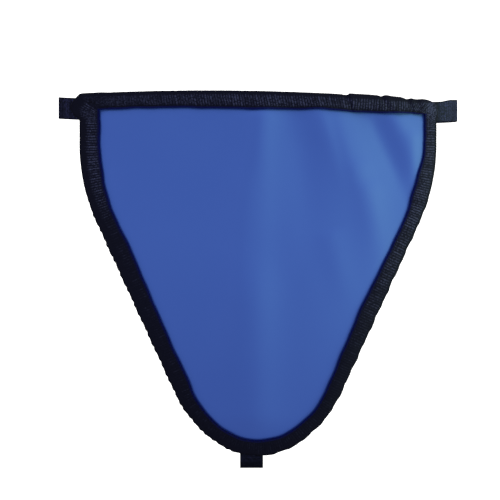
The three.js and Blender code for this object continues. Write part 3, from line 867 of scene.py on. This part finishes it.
def seam(path, side):
    """Starts and ends of the stitches along a path in X and Z."""
    path = np.asarray(path, float)
    place = np.concatenate([[0], np.cumsum(np.linalg.norm(np.diff(path, axis=0), axis=1))])
    count = int((place[-1] - STITCH_LENGTH) // STITCH_PITCH) + 1
    ends = []
    for i in range(count):
        for at in (i * STITCH_PITCH, i * STITCH_PITCH + STITCH_LENGTH):
            ends.append(laid(np.interp(at, place, path[:, 0]), np.interp(at, place, path[:, 1]), side))
    return np.array(ends).reshape(count, 2, 3)


def stitch_piece(name, stitches):
    """Short threads, half sunk in the cloth, as one piece."""
    start, end = stitches[:, 0], stitches[:, 1]
    axis = end - start
    axis /= np.linalg.norm(axis, axis=1, keepdims=True)
    side = np.cross(axis, STITCH_ACROSS)
    side /= np.linalg.norm(side, axis=1, keepdims=True)
    other = np.cross(axis, side)
    angles = np.arange(STITCH_SIDES) * math.tau / STITCH_SIDES
    rings = []
    for along, radius in STITCH_RINGS:
        middle = mix(start, end, along)[:, None, :]
        turn = side[:, None, :] * np.cos(angles)[:, None] + other[:, None, :] * np.sin(angles)[:, None]
        rings.append(middle + turn * radius * STITCH_RADIUS)
    points = np.stack(rings, 1).reshape(-1, 3)
    index = np.arange(len(points)).reshape(len(start), len(STITCH_RINGS), STITCH_SIDES)
    ahead = np.roll(index, -1, 2)
    quads = np.stack([index[:, :-1], ahead[:, :-1], ahead[:, 1:], index[:, 1:]], -1)
    faces = quads.reshape(-1, 4).tolist() + index[:, 0, ::-1].tolist() + index[:, -1].tolist()
    return mesh_piece(name, points, faces, THREAD)


def inset_path(leg, inset):
    inner = EDGES[leg]
    outward = EDGES["edge"] - inner
    path = inner + outward / np.linalg.norm(outward, axis=1, keepdims=True) * inset
    return np.concatenate([path, path[:1]])


def box_tack(x, z, half_x, half_z):
    """A box and a cross, in X and Z."""
    corners = np.array([(-1, -1), (1, -1), (1, 1), (-1, 1), (-1, -1), (1, 1), (1, -1), (-1, 1)])
    return np.array([x, z]) + corners * np.array([half_x, half_z])


def zigzag_tack(x, z, half_x, half_z, turns):
    share = np.linspace(-1, 1, turns)
    return np.column_stack([x + half_x * share, z + half_z * np.where(np.arange(turns) % 2, 1, -1)])


front_seam = seam(inset_path("front", STITCH_INSET), FROM_FRONT)
back_seam = seam(inset_path("back", STITCH_INSET + BACK_LEG_EXTRA), FROM_INSIDE_FORWARD)
binding_stitches = stitch_piece("binding_stitches", np.concatenate([front_seam, back_seam]))

tacks = []
for name, corner in CORNERS.items():
    box_x = corner["sign"] * STRAP_BOX["x"]
    box_z = waist_height(box_x, CORNER_Y)
    box = box_tack(box_x, box_z, STRAP_BOX["half_x"], STRAP_BOX["half_z"])
    tacks.append(seam(box, FROM_INSIDE_FORWARD))
    tack_x = corner["sign"] * CORNER_TACK["x"]
    tack_z = CORNER_TACK[name + "_z"]
    zigzag = zigzag_tack(tack_x, tack_z, CORNER_TACK["half_x"], CORNER_TACK["half_z"], CORNER_TACK["turns"])
    tacks.append(seam(zigzag, FROM_FRONT))
tip_box = box_tack(CROTCH_X, CROTCH_BOX["tip_z"], CROTCH_BOX["half_x"], CROTCH_BOX["half_z"])
tacks.append(seam(tip_box, FROM_INSIDE_FORWARD))
back_z = waist_height(CROTCH_X, WAIST_HALF_DEPTH)
back_box = box_tack(CROTCH_X, back_z, CROTCH_BOX["half_x"], CROTCH_BOX["half_z"])
tacks.append(seam(back_box, FROM_INSIDE_BACK))
tacks.append(seam(back_box, FROM_BEHIND))
stitch_piece("strap_tacks", np.concatenate(tacks))

# Stage: a round pale floor far below the held-up shield, and a bright wall all round
FLOOR_Z = -14.0
STAGE_RADIUS = 15.0
WALL_TOP = 14.0
STAGE_SIDES = 96
STAGE_COLOUR = (0.9, 0.9, 0.9)
STAGE_ROUGHNESS = 1
STAGE_SPECULAR = 0
FLOOR_GLOW = 0
WALL_GLOW = 1


def stage_piece(name, points, faces, glow):
    material, shader = principled(name, STAGE_COLOUR, STAGE_ROUGHNESS, STAGE_SPECULAR)
    shader.inputs["Emission Color"].default_value = (*WHITE, 1)
    shader.inputs["Emission Strength"].default_value = glow
    mesh = bpy.data.meshes.new(name)
    mesh.from_pydata(points, [], faces)
    mesh.materials.append(material)
    piece = bpy.data.objects.new(name, mesh)
    bpy.context.scene.collection.objects.link(piece)
    piece.visible_diffuse = False
    piece.visible_glossy = False


def ring(z):
    angles = [math.tau * i / STAGE_SIDES for i in range(STAGE_SIDES)]
    return [(STAGE_RADIUS * math.cos(a), STAGE_RADIUS * math.sin(a), z) for a in angles]


stage_piece("studio_floor", ring(FLOOR_Z), [list(range(STAGE_SIDES))], FLOOR_GLOW)
wall_faces = []
for i in range(STAGE_SIDES):
    after = (i + 1) % STAGE_SIDES
    wall_faces.append((i, after, STAGE_SIDES + after, STAGE_SIDES + i))
stage_piece("studio_wall", ring(FLOOR_Z) + ring(WALL_TOP), wall_faces, WALL_GLOW)

# Light: name, place, size, power and colour
LIGHT_FROM_BELOW = 0.52
LIGHT_FROM_ABOVE = 1.08
LIGHTS = (
    ("key", (3.2, -0.1, -0.1), 1.2, 64, (0.78, 1, 0.52)),
    ("back", (0, 3.2, 1.4), 2.0, 40, WHITE),
)
AIM = Vector((0, 0, -0.14))

world = bpy.data.worlds.new("studio")
world.use_nodes = True
world.cycles_visibility.glossy = False
bpy.context.scene.world = world
background = world.node_tree.nodes["Background"]
background.inputs["Color"].default_value = (*WHITE, 1)
direction = world.node_tree.nodes.new("ShaderNodeTexCoord")
parts = world.node_tree.nodes.new("ShaderNodeSeparateXYZ")
strength = world.node_tree.nodes.new("ShaderNodeMapRange")
strength.inputs["From Min"].default_value = -1
strength.inputs["To Min"].default_value = LIGHT_FROM_BELOW
strength.inputs["To Max"].default_value = LIGHT_FROM_ABOVE
world.node_tree.links.new(direction.outputs["Generated"], parts.inputs["Vector"])
world.node_tree.links.new(parts.outputs["Z"], strength.inputs["Value"])
world.node_tree.links.new(strength.outputs["Result"], background.inputs["Strength"])
for name, place, size, power, colour in LIGHTS:
    lamp = bpy.data.lights.new(name, "AREA")
    lamp.size = size
    lamp.energy = power
    lamp.color = colour
    holder = bpy.data.objects.new(name, lamp)
    holder.location = place
    holder.rotation_euler = (AIM - Vector(place)).to_track_quat("-Z", "Y").to_euler()
    bpy.context.scene.collection.objects.link(holder)

# Camera, at the photograph's angle: straight on and far away
CAMERA_DISTANCE = 12.0
PICTURE_WIDTH = 0.45
PICTURE_CENTRE = (-0.0072, -0.06, -0.126)
CLIP_END = 100

camera_data = bpy.data.cameras.new("camera")
camera_data.lens = camera_data.sensor_width * CAMERA_DISTANCE / PICTURE_WIDTH
camera_data.clip_end = CLIP_END
camera = bpy.data.objects.new("camera", camera_data)
camera.location = (PICTURE_CENTRE[0], PICTURE_CENTRE[1] - CAMERA_DISTANCE, PICTURE_CENTRE[2])
camera.rotation_euler = (QUARTER, 0, 0)
bpy.context.scene.collection.objects.link(camera)
bpy.context.scene.camera = camera
bpy.context.scene.view_settings.view_transform = "Standard"
